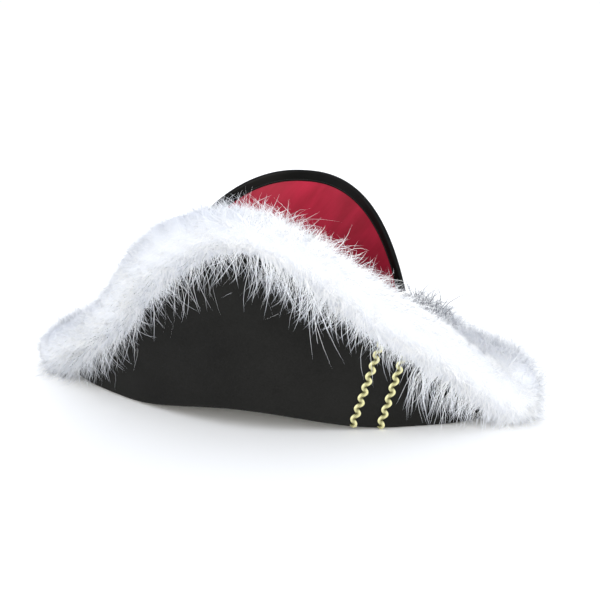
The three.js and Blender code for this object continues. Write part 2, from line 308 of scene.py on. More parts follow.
def face_towards(piece, direction):
    """Turns an open sheet's faces to the side of a direction."""
    only(piece)
    total = sum((face.normal * face.area for face in piece.data.polygons), Vector())
    if total.dot(Vector(direction)) < 0:
        bpy.ops.object.mode_set(mode="EDIT")
        bpy.ops.mesh.select_all(action="SELECT")
        bpy.ops.mesh.flip_normals()
        bpy.ops.object.mode_set(mode="OBJECT")


def give_wall(piece, thickness, offset=-1.0):
    """Gives a sheet its real thickness, away from the side that its faces look to."""
    only(piece)
    wall = piece.modifiers.new("Wall", "SOLIDIFY")
    wall.thickness = thickness
    wall.offset = offset
    wall.use_even_offset = False
    bpy.ops.object.modifier_apply(modifier=wall.name)


def finish_piece(piece, material, nodes, smooth_angle=EDGE_SMOOTH):
    """Gives a piece its material, and lets it ride and stand for its CAD nodes."""
    piece.data.materials.clear()
    piece.data.materials.append(material)
    if smooth_angle:
        only(piece)
        bpy.ops.object.shade_smooth_by_angle(angle=math.radians(smooth_angle))
    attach(piece, "root")
    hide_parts(*nodes)


def mesh_from_arrays(name, points, faces_by_size):
    """A mesh from arrays of points and of faces that are grouped by their number of corners."""
    mesh = bpy.data.meshes.new(name)
    corners = np.concatenate([faces.ravel() for faces in faces_by_size])
    sizes = np.concatenate([np.full(len(faces), faces.shape[1]) for faces in faces_by_size])
    mesh.vertices.add(len(points))
    mesh.vertices.foreach_set("co", points.astype(np.float32).ravel())
    mesh.loops.add(len(corners))
    mesh.loops.foreach_set("vertex_index", corners.astype(np.int32))
    mesh.polygons.add(len(sizes))
    starts = np.concatenate([[0], np.cumsum(sizes)[:-1]])
    mesh.polygons.foreach_set("loop_start", starts.astype(np.int32))
    mesh.update(calc_edges=True)
    mesh.validate()
    piece = bpy.data.objects.new(name, mesh)
    bpy.context.scene.collection.objects.link(piece)
    return piece


# Colours and materials


def linear(hex_colour):
    """An sRGB hex colour as linear red, green, blue and alpha."""
    channels = [int(hex_colour[k : k + 2], 16) / 255 for k in (1, 3, 5)]
    return (*((c / 12.92 if c <= 0.04045 else ((c + 0.055) / 1.055) ** 2.4) for c in channels), 1.0)


def add_node(tree, kind, settings=None, links=None, stops=()):
    """Adds a node with its properties, inputs, colour stops and links from outputs of earlier nodes."""
    node = tree.nodes.new(f"ShaderNode{kind}")
    for name, value in (settings or {}).items():
        if isinstance(name, str) and hasattr(node, name):
            setattr(node, name, value)
        else:
            node.inputs[name].default_value = value
    for name, source in (links or {}).items():
        tree.links.new(source, node.inputs[name])
    for _ in stops[2:]:
        node.color_ramp.elements.new(1.0)
    for number, (position, colour) in enumerate(stops):
        node.color_ramp.elements[number].position = position
        node.color_ramp.elements[number].color = colour
    return node


def new_material(name):
    """An empty node material, with its tree."""
    material = bpy.data.materials.new(name)
    material.use_nodes = True
    material.node_tree.nodes.clear()
    return material, material.node_tree


def make_felt(felt):
    """Needle-felted black wool mix, pressed to shape: no gloss, fibres lying all ways, soft mottling."""
    material, tree = new_material("pressed_black_felt")
    place = add_node(tree, "TexCoord").outputs["Object"]
    # Fibres are a fraction of a millimetre apart, drawn at about 1 mm, and lie in tangles of about 4 mm
    fibres = add_node(
        tree, "TexNoise", {"Scale": 900.0, "Detail": 3.0, "Roughness": 0.7, "Distortion": 1.2},
        {"Vector": place})
    tangles = add_node(
        tree, "TexNoise", {"Scale": 260.0, "Detail": 5.0, "Roughness": 0.65, "Distortion": 2.0},
        {"Vector": place})
    # Pressing leaves patches of a few centimetres that are a shade lighter or darker
    patches = add_node(
        tree, "TexNoise", {"Scale": 14.0, "Detail": 3.0, "Roughness": 0.5}, {"Vector": place})
    mixed = add_node(
        tree, "Mix", {"data_type": "FLOAT", "Factor": 0.45},
        {2: tangles.outputs["Fac"], 3: patches.outputs["Fac"]})
    tone = add_node(
        tree, "ValToRGB", links={"Fac": mixed.outputs["Result"]},
        stops=((0.34, felt.shade), (0.68, felt.colour)))
    bump = add_node(tree, "Bump", {"Strength": 0.35, "Distance": 0.0004}, {"Height": fibres.outputs["Fac"]})
    surface = add_node(
        tree, "Bump", {"Strength": 0.4, "Distance": 0.0008},
        {"Height": tangles.outputs["Fac"], "Normal": bump.outputs["Normal"]})
    shader = add_node(
        tree, "BsdfPrincipled",
        {"Roughness": 0.95, "Specular IOR Level": 0.06, "Sheen Weight": 0.02, "Sheen Roughness": 0.6},
        {"Base Color": tone.outputs["Color"], "Normal": surface.outputs["Normal"]})
    add_node(tree, "OutputMaterial", links={"Surface": shader.outputs["BSDF"]})
    return material


def make_satin(name, colour, light, roughness, sheen, gloss):
    """Woven polyester satin: long floats give a soft broad gloss, with faint lighter streaks of painted sheen
    on the slant.
    """
    material, tree = new_material(name)
    place = add_node(tree, "TexCoord").outputs["Object"]
    # The cloth lies a little off the straight, so the streaks along the yarn run on the slant; their lighter
    # tone is painted sheen
    turned = add_node(
        tree, "Mapping",
        {"vector_type": "TEXTURE", "Rotation": (0.0, math.radians(-50), 0.0), "Scale": (0.11, 0.11, 0.019)},
        {"Vector": place})
    streaks = add_node(
        tree, "TexNoise", {"Scale": 1.0, "Detail": 4.0, "Roughness": 0.6},
        {"Vector": turned.outputs["Vector"]})
    # Painted sheen: along the streaks the colour lightens towards the light tone
    tone = add_node(
        tree, "ValToRGB", links={"Fac": streaks.outputs["Fac"]}, stops=((0.35, colour), (0.72, light)))
    # Yarns are 0.2 mm apart, drawn at about 1.2 mm so that they show
    weave = add_node(
        tree, "TexWave",
        {"wave_type": "BANDS", "bands_direction": "Z", "Scale": 260.0, "Distortion": 1.5, "Detail": 2.0},
        {"Vector": place})
    bump = add_node(tree, "Bump", {"Strength": 0.04, "Distance": 0.0001}, {"Height": weave.outputs["Fac"]})
    # Thin cloth is never quite flat: soft ridges follow the yarn
    ridges = add_node(
        tree, "Bump", {"Strength": 0.2, "Distance": 0.002},
        {"Height": streaks.outputs["Fac"], "Normal": bump.outputs["Normal"]})
    shader = add_node(
        tree, "BsdfPrincipled",
        {"Roughness": roughness, "Specular IOR Level": gloss, "Sheen Weight": sheen,
         "Sheen Roughness": 0.35, "Sheen Tint": light},
        {"Base Color": tone.outputs["Color"], "Normal": ridges.outputs["Normal"]})
    add_node(tree, "OutputMaterial", links={"Surface": shader.outputs["BSDF"]})
    return material


def make_down(down):
    """White marabou, turkey down on a thin cord: matte, airy, and light comes through the thin barbs."""
    material, tree = new_material("white_marabou_down")
    # Each barb carries its own tone: a plume is at random a shade cooler than the next, and painted shade
    # darkens the rear rows, the top of the long row at -X, the heart, the hanging tips and the plumes beside
    # the flap
    tone_and_painted_shade = add_node(tree, "Attribute", {"attribute_name": "tone_and_painted_shade"})
    tone = add_node(
        tree, "ValToRGB", links={"Fac": tone_and_painted_shade.outputs["Fac"]},
        stops=((0.0, down.painted_shade_plumes), (0.35, down.shade), (1.0, down.colour)))
    shader = add_node(
        tree, "BsdfPrincipled",
        {"Roughness": 0.9, "Specular IOR Level": 0.1, "Sheen Weight": 0.1, "Sheen Roughness": 0.5},
        {"Base Color": tone.outputs["Color"]})
    through = add_node(tree, "BsdfTranslucent", links={"Color": tone.outputs["Color"]})
    barb = add_node(tree, "MixShader", {"Fac": 0.3})
    tree.links.new(shader.outputs["BSDF"], barb.inputs[1])
    tree.links.new(through.outputs["BSDF"], barb.inputs[2])
    add_node(tree, "OutputMaterial", links={"Surface": barb.outputs["Shader"]})
    return material


def make_gold_thread(braid):
    """Metallised polyester thread wound on a core: pale gold, bright where it turns to the light, with
    painted highlights on the lobes and painted shade between them.
    """
    material, tree = new_material("metallised_gold_thread")
    # The UV map counts the braid's waves along a thread, and across it holds a painted highlight and shade:
    # outer threads, which rise at a lobe, are painted bright there, and inner ones are painted dark as shade
    place = add_node(tree, "TexCoord").outputs["UV"]
    lobe_highlight_and_shade = add_node(tree, "SeparateXYZ", links={"Vector": place})
    # Windings are 0.3 mm wide, drawn at 1 mm so that they show
    winding = add_node(
        tree, "TexWave", {"wave_type": "BANDS", "bands_direction": "Y", "Scale": 3.8, "Distortion": 0.4},
        {"Vector": place})
    mixed = add_node(
        tree, "Mix", {"data_type": "FLOAT", "Factor": 0.15},
        {2: lobe_highlight_and_shade.outputs["X"], 3: winding.outputs["Fac"]})
    tone = add_node(
        tree, "ValToRGB", links={"Fac": mixed.outputs["Result"]},
        stops=((0.27, braid.shade), (0.72, braid.colour)))
    bump = add_node(tree, "Bump", {"Strength": 0.4, "Distance": 0.0003}, {"Height": winding.outputs["Fac"]})
    shader = add_node(
        tree, "BsdfPrincipled", {"Metallic": 0.5, "Roughness": 0.34},
        {"Base Color": tone.outputs["Color"], "Normal": bump.outputs["Normal"]})
    add_node(tree, "OutputMaterial", links={"Surface": shader.outputs["BSDF"]})
    return material


def make_thread():
    """Spun black polyester sewing thread: a dull round cord with a faint sheen."""
    material, tree = new_material("spun_black_thread")
    place = add_node(tree, "TexCoord").outputs["Object"]
    # Two plies cross the thread every 0.5 mm, drawn about 1 mm apart so that they show
    plies = add_node(
        tree, "TexWave", {"wave_type": "BANDS", "bands_direction": "DIAGONAL", "Scale": 630.0},
        {"Vector": place})
    tone = add_node(
        tree, "ValToRGB", links={"Fac": plies.outputs["Fac"]},
        stops=((0.0, linear("#0d0d0c")), (1.0, linear("#1e1e1d"))))
    shader = add_node(
        tree, "BsdfPrincipled", {"Roughness": 0.6, "Specular IOR Level": 0.3, "Sheen Weight": 0.1},
        {"Base Color": tone.outputs["Color"]})
    add_node(tree, "OutputMaterial", links={"Surface": shader.outputs["BSDF"]})
    return material


def make_floor(studio):
    """Seamless matte studio paper."""
    material, tree = new_material("matte_studio_paper")
    shader = add_node(
        tree, "BsdfPrincipled", {"Base Color": studio.floor, "Roughness": 0.9, "Specular IOR Level": 0.1})
    add_node(tree, "OutputMaterial", links={"Surface": shader.outputs["BSDF"]})
    return material


# Sizes and colours


def colour_property(name, description, hex_colour):
    """A colour that a user may change."""
    return bpy.props.FloatVectorProperty(
        name=name, description=description, subtype="COLOR", size=4, default=linear(hex_colour))


def length_property(name, description, default, least):
    """A length in metres that a user may change."""
    return bpy.props.FloatProperty(
        name=name, description=description, default=default, min=least, unit="LENGTH")


class FeltProperties(bpy.types.PropertyGroup):
    thickness: length_property("Thickness", "Thickness of the felt", 0.0025, 0.001)
    colour: colour_property("Colour", "Lighter tone of the felt", "#1e1e1d")
    shade: colour_property("Shade", "Darker tone of the felt", "#131312")


class SatinProperties(bpy.types.PropertyGroup):
    facing_thickness: length_property(
        "Facing thickness", "Thickness of the red satin with its backing", 0.001, 0.0002)
    binding_width: length_property(
        "Binding width", "Width of the binding on each face of the flap", 0.012, 0.004)
    binding_thickness: length_property(
        "Binding thickness", "Thickness of the folded binding tape", 0.0008, 0.0002)
    red: colour_property("Red", "Colour of the facing", "#8b1027")
    # Painted sheen: the lighter streaks of the facing, which also tint its real sheen
    red_sheen: colour_property("Red light", "Lighter streaks of the facing", "#ab1c38")
    black: colour_property("Black", "Colour of the binding", "#070706")
    # Painted sheen: the lighter streaks of the binding, which also tint its real sheen
    black_sheen: colour_property("Black light", "Lighter streaks of the binding", "#0c0c0b")


class BraidProperties(bpy.types.PropertyGroup):
    width: length_property("Width", "Width of a braid over its lobes", 0.008, 0.002)
    pitch: length_property("Pitch", "Length of one wave of a braid", 0.0119, 0.004)
    thread: length_property("Thread", "Diameter of one wound thread", 0.00115, 0.0005)
    # The gold runs from shade to colour: painted shade between the lobes and painted highlight on them, with
    # darker gold between the winding's turns
    colour: colour_property("Colour", "Bright gold of the thread", "#e2deac")
    shade: colour_property("Shade", "Gold between the turns", "#4a481c")


class MarabouProperties(bpy.types.PropertyGroup):
    core_radius: length_property("Core radius", "Radius of the dense inner down", 0.026, 0.005)
    strand_width: length_property("Strand width", "Width of one barb of down near its root", 0.00046, 0.0002)
    strands: bpy.props.IntProperty(
        name="Strands", description="Number of barbs on the whole trim, before the long ones are thinned",
        default=190000, min=1000)
    seed: bpy.props.IntProperty(name="Seed", description="Start of the random numbers", default=11)
    colour: colour_property("Colour", "White of the down", "#fcfcfb")
    # A cooler tone that plumes take at random, and the colour of painted shade on the rear rows, the top at
    # -X, the heart and the hanging tips
    shade: colour_property("Shade", "Cooler plumes among the white", "#dde1ea")
    # Painted shade: the dark grey that the plumes beside the flap are painted
    painted_shade_plumes: colour_property("Painted shade plumes", "Grey of the plumes beside the flap", "#4b4d54")


class StudioProperties(bpy.types.PropertyGroup):
    target: bpy.props.FloatVectorProperty(
        name="Target", description="Point of the frame that the camera looks at", subtype="TRANSLATION",
        unit="LENGTH", default=(0.02777, PLAN_SHIFT.y, 0.10733))
    azimuth: bpy.props.FloatProperty(
        name="Azimuth", description="Camera's angle to the right of the front", default=math.radians(18.2),
        subtype="ANGLE")
    elevation: bpy.props.FloatProperty(
        name="Elevation", description="Camera's angle above the floor", default=math.radians(15.3),
        subtype="ANGLE")
    distance: bpy.props.FloatProperty(
        name="Distance", description="Camera's distance from its target", default=1.56, unit="LENGTH")
    lens: bpy.props.FloatProperty(
        name="Lens", description="Focal length on a sensor 36 mm wide", default=90.0,
        subtype="DISTANCE_CAMERA")
    floor: colour_property("Floor", "Colour of the floor", "#fdfcf9")
    ambient: bpy.props.FloatProperty(
        name="Ambient", description="Strength of the even white light all round", default=1.12, min=0.0)


# Felt

# Places round the brim: along the front wall, the flap, each horn and each tip's nose
FRONT_STATIONS = 141
FLAP_STATIONS = 141
HORN_STATIONS = 18
NOSE_STATIONS = 10


def brim_stations():
    """Arrays of X, Y, top edge, angle in the head opening, outward direction and lean, round the brim."""

    def fan(x):
        return 90 * np.tanh(x / FAN_WIDTH)

    def row(x, y, edge, hole, outward, leans):
        return x, y, edge, hole, outward[:, 0], outward[:, 1], np.full_like(x, leans)

    def horn(side):
        start = flap_edge(FLAP_BASE_ANGLE)[0]
        x = side * np.linspace(start, NOSE_X, HORN_STATIONS + 1)[1:]
        return row(x, rear_plan(x), horn_edge(x), 90 - fan(x), plan_normal(rear_plan, x, 1), 0.0)

    def nose(side):
        degrees = np.linspace(NOSE_START, 90, NOSE_STATIONS + 2)[1:-1]
        outward = np.stack([side * np.cos(np.radians(degrees)), np.sin(np.radians(degrees))], axis=-1)
        x = side * NOSE_X + NOSE_RADIUS * outward[:, 0]
        spread = (degrees - NOSE_START) / (90 - NOSE_START)
        first = fan(np.array(FRONT_END_X))
        angle = (first - 90) * (1 - spread) + (90 - first) * spread
        hole = angle if side > 0 else 180 - angle
        return row(x, TIP_Y + NOSE_RADIUS * outward[:, 1], horn_edge(x), hole, outward, 0.0)

    front_x = np.linspace(-FRONT_END_X, FRONT_END_X, FRONT_STATIONS)
    front = row(front_x, front_plan(front_x), front_edge(front_x), fan(front_x) - 90,
                plan_normal(front_plan, front_x, -1), 1.0)
    degrees = np.linspace(FLAP_BASE_ANGLE, 180 - FLAP_BASE_ANGLE, FLAP_STATIONS)
    flap_x, flap_z = flap_edge(degrees, FLAP_FELT_INSET)
    flap = row(flap_x, rear_plan(flap_x), flap_z, 90 - fan(flap_x), plan_normal(rear_plan, flap_x, 1), 0.0)
    parts = [front, nose(1), [a[::-1] for a in horn(1)], flap, horn(-1), [a[::-1] for a in nose(-1)]]
    return np.stack([np.concatenate([part[k] for part in parts]) for k in range(7)])


class BICORNE_OT_brim(bpy.types.Operator):
    """Make the brim: one piece of felt, a floor round the head opening, folded up all round"""

    bl_idname = "bicorne.brim"
    bl_label = "Felt brim"

    floor_steps = 10
    fold_steps = 8
    wall_steps = 26

    def section(self, stations, v):
        """One section's points at shares v of its steps, from the head opening to the top edge."""
        x, y, edge, hole, out_x, out_y, leans = stations
        angle = np.radians(hole)
        hole_x = HOLE_HALF_X * np.cos(angle)
        hole_y = HOLE_Y + HOLE_HALF_Y * np.sin(angle)
        foot_x, foot_y = x - FOLD_RADIUS * out_x, y - FOLD_RADIUS * out_y
        total = self.floor_steps + self.fold_steps + self.wall_steps
        step = v * total
        floor = limit(step / self.floor_steps)
        fold = limit((step - self.floor_steps) / self.fold_steps)
        wall = limit((step - self.floor_steps - self.fold_steps) / self.wall_steps)
        floor_x, floor_y = hole_x + (foot_x - hole_x) * floor, hole_y + (foot_y - hole_y) * floor
        turn = np.radians(-90 + 90 * fold)
        reach = np.where(step > self.floor_steps, FOLD_RADIUS * np.cos(turn), 0)
        base = np.where(step > self.floor_steps, underside(x) + FOLD_RADIUS + FOLD_RADIUS * np.sin(turn),
                        underside(floor_x))
        centre = underside(x) + FOLD_RADIUS
        height = base + (edge - centre) * wall
        lean = FRONT_LEAN * (1 - (x / HALF_SPAN) ** 2) * leans * (edge - centre) * wall
        return np.stack([floor_x + out_x * reach, floor_y + out_y * reach - lean, height], axis=-1)

    def execute(self, context):
        felt = context.scene.bicorne_felt
        stations = brim_stations()
        count = stations.shape[1]
        total = self.floor_steps + self.fold_steps + self.wall_steps

        def shape(u, v):
            station = np.rint(u * count).astype(int) % count
            return self.section(stations[:, station], v)

        brim = shaped_grid("felt_brim", count, total, shape)
        close_shell(brim, lambda face: face.center.z - abs(face.center.x), "y")
        give_wall(brim, felt.thickness)
        # The table presses the underside flat
        for point in brim.data.vertices:
            point.co.z = max(point.co.z, 0.0)
        finish_piece(brim, make_felt(felt), ["brim"])
        return {"FINISHED"}


class BICORNE_OT_crown(bpy.types.Operator):
    """Make the crown: a felt dome that stands in the head opening"""

    bl_idname = "bicorne.crown"
    bl_label = "Felt crown"

    around_steps, rise_steps = 96, 36
    # Past this share of the rise the ring closes to a pole
    pole = 0.9999

    def execute(self, context):
        felt = context.scene.bicorne_felt

        def shape(u, v):
            around = 2 * np.pi * u
            climb = np.radians(90) * v
            size = (np.cos(climb) ** CROWN_POWER + np.sin(climb) ** CROWN_POWER) ** (1 / CROWN_POWER)
            wide = np.where(v > self.pole, 0, np.cos(climb) / size)
            high = np.sin(climb) / size
            x = (HOLE_HALF_X - GAP) * wide * np.cos(around)
            y = HOLE_Y + (HOLE_HALF_Y - GAP) * wide * np.sin(around)
            return np.stack([x, y, underside(x) * (1 - high) + CROWN_HEIGHT * high], axis=-1)

        crown = shaped_grid("felt_crown", self.around_steps, self.rise_steps, shape)
        close_shell(crown, lambda face: face.center.z, "z")
        give_wall(crown, felt.thickness)
        finish_piece(crown, bpy.data.materials["pressed_black_felt"], ["crown"])
        return {"FINISHED"}


# Satin


class BICORNE_OT_facing(bpy.types.Operator):
    """Make the red satin facing on the flap's inner side, stretched from the binding down to the fold"""

    bl_idname = "bicorne.facing"
    bl_label = "Satin facing"

    columns, rows = 110, 50
    # In millimetres: depth of the slack, lengths of its waves, and depth of the cloth's middle over the felt
    slack = 0.25
    waves = (17.0, 29.0, 23.0, 41.0)
    middle = 0.45
    cloth_share = 0.55

    def execute(self, context):
        satin = context.scene.bicorne_satin
        felt = context.scene.bicorne_felt.thickness * MM
        inset = satin.binding_width * MM + GAP
        up_a, across_a, across_b, up_b = self.waves

        def shape(u, v):
            x, top = flap_place(flap_angle(u), inset)
            low = underside(x) + FOLD_RADIUS + FACING_FOOT
            height = low + (top - low) * v
            # The cloth is a little slack: shallow waves that die out at the binding
            wave = np.sin(height / up_a + x / across_a) * np.sin(x / across_b - height / up_b)
            return rear_skin(x, height, felt + GAP + self.middle + self.slack * wave * (1 - v**6))

        facing = shaped_grid("satin_facing", self.columns, self.rows, shape)
        close_seams(facing)
        face_towards(facing, (0, -1, 0))
        give_wall(facing, satin.facing_thickness * self.cloth_share, offset=0.0)
        material = make_satin("woven_red_satin", satin.red, satin.red_sheen,
                              roughness=0.5, sheen=0.05, gloss=0.3)
        finish_piece(facing, material, ["rear_facing"])
        return {"FINISHED"}


class BICORNE_OT_binding(bpy.types.Operator):
    """Make the black satin binding, a tape folded over the flap's edge and stitched along it"""

    bl_idname = "bicorne.binding"
    bl_label = "Edge binding"

    # Steps down a leg of the tape, round the felt's edge and along the flap
    leg_steps, round_steps, along_steps = 8, 12, 180
    roundness = 0.98
    tape_share = 0.9
    # Stitches of the seam on each face, share of a stitch that shows, and steps and sides of the thread
    stitches = 150
    shown = 0.72
    stitch_steps, thread_sides = 10, 6
    # In millimetres: the seam's distance from the tape's edge, the thread's radius, its height and its arch
    seam_inset, thread_radius, seam_lift, seam_arch = 1.6, 0.24, 0.05, 0.22

    def tape(self, felt, width, lift):
        """The tape's skin, up its outer leg, over the felt's edge in a round and down its inner leg."""
        half = felt / 2 + lift
        turn = np.radians(np.linspace(0, 180, self.round_steps + 1))
        up = np.linspace(width, half, self.leg_steps + 1)[:-1]
        down = np.linspace(half, width, self.leg_steps + 1)[1:]
        widths = np.concatenate([up, half - half * self.roundness * np.sin(turn), down])
        depths = np.concatenate([np.full_like(up, -lift), felt / 2 - half * np.cos(turn),
                                 np.full_like(down, felt + lift)])

        def shape(u, v):
            step = np.rint(v * (len(widths) - 1)).astype(int)
            x, z = flap_place(flap_angle(u), widths[step])
            return rear_skin(x, z, depths[step])

        return shaped_grid("satin_binding", self.along_steps, len(widths) - 1, shape)

    def seam(self, face, width, depth, outward):
        """A lockstitched thread that arches over the tape and dives back into it."""

        def shape(u, v):
            step = (v * self.stitches) % 1
            hidden = 1 - self.shown
            arch = np.where(step < self.shown, np.sin(np.pi * step / self.shown),
                            -np.sin(np.pi * (step - self.shown) / hidden))
            ring = 2 * np.pi * u
            inside = width - self.seam_inset + self.thread_radius * np.cos(ring)
            x, z = flap_place(flap_angle(v, inset=1), inside)
            high = self.seam_lift + self.seam_arch * arch + self.thread_radius * np.sin(ring)
            return rear_skin(x, z, depth + outward * high)

        steps = self.stitches * self.stitch_steps
        return shaped_grid(f"binding_stitches_{face}", self.thread_sides, steps, shape)

    def execute(self, context):
        satin = context.scene.bicorne_satin
        felt = context.scene.bicorne_felt.thickness * MM
        width = satin.binding_width * MM
        lift = GAP + satin.binding_thickness * MM
        binding = self.tape(felt, width, lift)
        close_shell(binding, lambda face: face.center.z, "z")
        give_wall(binding, satin.binding_thickness * self.tape_share)
        material = make_satin("woven_black_satin", satin.black, satin.black_sheen,
                              roughness=0.36, sheen=0.0, gloss=0.11)
        finish_piece(binding, material, ["edge_binding"])

        thread = make_thread()
        for face, depth, outward in (("outer", -lift, -1), ("inner", felt + lift, 1)):
            seam = self.seam(face, width, depth, outward)
            close_seams(seam)
            finish_piece(seam, thread, ["edge_binding"], smooth_angle=ROUND_SMOOTH)
        return {"FINISHED"}


# Gold braids


class BICORNE_OT_braids(bpy.types.Operator):
    """Make the two gold braids: wound threads that wave from side to side up the front wall"""

    bl_idname = "bicorne.braids"
    bl_label = "Gold braids"

    sides = 8
    threads = (-1.5, -0.5, 0.5, 1.5)
    steps_in_a_wave = 20
    # Shares of a thread's width: its radius, which lets it touch its neighbours, and its height over the felt
    radius, clearance = 0.54, 0.56
    # In millimetres: how far the band is domed across, rises at each lobe and leans outwards there
    dome, lobe_rise, lobe_lean = 0.42, 0.6, 0.25

    def thread(self, foot, top, height, place, braid):
        """The shape of one of a braid's threads, which lie side by side and wave together, and its waves."""
        low = -math.radians(BRAID_FOOT_ANGLE) * FOLD_RADIUS
        pitch, width, thread = braid.pitch * MM, braid.width * MM, braid.thread * MM
        length = math.hypot(top - foot, height - low)
        sway = (width - len(self.threads) * thread) / 2
        offset = place * thread
        radius = self.radius * thread

        def shape(u, v):
            turn = 2 * np.pi * v * length / pitch
            slope = np.arctan(sway * 2 * np.pi / pitch * np.cos(turn))
            ring = 2 * np.pi * u
            reach = offset + radius * np.cos(ring)
            lobe = np.sin(turn)
            dome = self.dome * (1 - (offset / (2 * thread)) ** 2)
            dome = dome + self.lobe_rise * lobe**2 + self.lobe_lean * lobe * offset
            middle = foot + (top - foot) * v + sway * lobe + reach * np.cos(slope)
            climb = low + (height - low) * v - reach * np.sin(slope)
            return front_skin(middle, climb, -GAP - self.clearance * thread - dome - radius * np.sin(ring))

        return shape, length / pitch

    def execute(self, context):
        braid = context.scene.bicorne_braid
        material = make_gold_thread(braid)
        for node, (foot, top, height) in BRAID_FEET.items():
            threads = []
            for place in self.threads:
                shape, waves = self.thread(foot, top, height, place, braid)
                thread = shaped_grid(f"gold_{node}", self.sides, int(waves * self.steps_in_a_wave), shape)
                # The UV map's U holds painted highlight and shade: high on the outer thread at each lobe, low
                # on the inner ones
                for corner in thread.data.uv_layers.active.data:
                    wave = corner.uv.y * waves
                    lobe = math.sin(2 * math.pi * wave)
                    corner.uv = (0.5 + 0.5 * lobe * place / self.threads[-1], wave)
                close_seams(thread)
                threads.append(thread)
            finish_piece(join(threads), material, [node], smooth_angle=ROUND_SMOOTH)
        return {"FINISHED"}


# Marabou

ROW_POINTS = 300
HORN_ROW_POINTS = 80


class Row:
    """The middle line of a row of down, with its directions along, out and up, by a distance along it."""

    def __init__(self, points, outward):
        points = np.asarray(points, float)
        gaps = np.linalg.norm(np.diff(points, axis=0), axis=1)
        self.at = np.concatenate([[0], np.cumsum(gaps)])
        self.length = float(self.at[-1])
        self.points = points
        along = np.gradient(points, axis=0)
        self.along = along / np.linalg.norm(along, axis=1, keepdims=True)
        out = outward - (outward * self.along).sum(1, keepdims=True) * self.along
        self.out = out / np.linalg.norm(out, axis=1, keepdims=True)
        up = np.cross(self.along, self.out)
        self.up = up * np.sign(up[:, 2:3])
        self.near = 1.0 if self.out[0, 1] < 0 else -1.0

    def look(self, table, where):
        return np.stack([np.interp(where, self.at, table[:, k]) for k in range(3)], axis=-1)

    def frame(self, where):
        return tuple(self.look(table, where) for table in (self.points, self.along, self.out, self.up))


def fur_rows():
    """The long row on the front edge and a short one on each horn of the rear edge."""
    x = np.linspace(-HALF_SPAN, HALF_SPAN, ROW_POINTS)
    edge = front_edge(x)
    lean = FRONT_LEAN * edge * (1 - (x / HALF_SPAN) ** 2)
    rows = [Row(np.stack([x, front_plan(x) - lean, edge], axis=-1), plan_normal(front_plan, x, -1))]
    for side in (-1, 1):
        x = side * np.linspace(REAR_FUR_START, HALF_SPAN, HORN_ROW_POINTS)
        rows.append(Row(np.stack([x, rear_plan(x), horn_edge(x)], axis=-1), plan_normal(rear_plan, x, 1)))
    return rows


